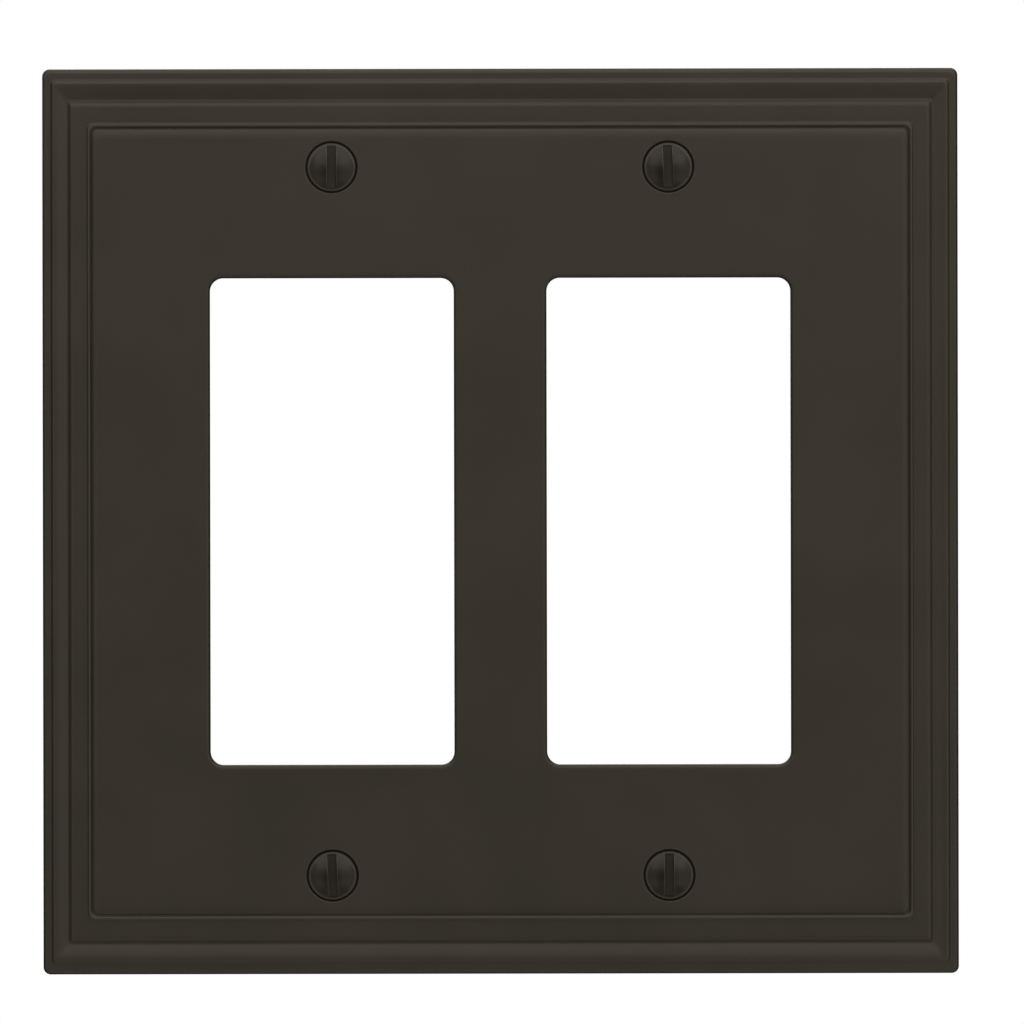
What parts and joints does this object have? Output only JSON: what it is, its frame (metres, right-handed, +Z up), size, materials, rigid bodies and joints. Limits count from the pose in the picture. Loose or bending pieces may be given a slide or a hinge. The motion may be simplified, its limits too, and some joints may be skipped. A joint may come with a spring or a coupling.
{
  "type": "wall plate cover",
  "caption": "Square metal wall plate with a stepped moulded border, rocker windows and countersunk slotted screws; covers switches or outlets in a wall box.",
  "frame": {"origin": "the plate's centre, on the wall plane that its back rim lies in", "axes": "front faces -Y and +Y points into the wall; +Z is up and +X is to the right seen from the front"},
  "size_m": [0.1252, 0.0135, 0.1238],
  "materials": {
    "plate_finish": "dark bronze, satin, over a smooth casting",
    "screw_finish": "dark bronze, satin, matched to the plate"
  },
  "bodies": {
    "cover": {"faceplate": "plate_finish"},
    "screw_upper_left": {"screw_upper_left": "screw_finish"},
    "screw_upper_right": {"screw_upper_right": "screw_finish"},
    "screw_lower_left": {"screw_lower_left": "screw_finish"},
    "screw_lower_right": {"screw_lower_right": "screw_finish"}
  },
  "joints": [
    {"name": "screw_upper_left_slide", "type": "slide", "parent": "cover", "child": "screw_upper_left", "axis": [0, -1, 0], "range_m": [0, 0.0115]},
    {"name": "screw_upper_right_slide", "type": "slide", "parent": "cover", "child": "screw_upper_right", "axis": [0, -1, 0], "range_m": [0, 0.0115]},
    {"name": "screw_lower_left_slide", "type": "slide", "parent": "cover", "child": "screw_lower_left", "axis": [0, -1, 0], "range_m": [0, 0.0115]},
    {"name": "screw_lower_right_slide", "type": "slide", "parent": "cover", "child": "screw_lower_right", "axis": [0, -1, 0], "range_m": [0, 0.0115]}
  ]
}
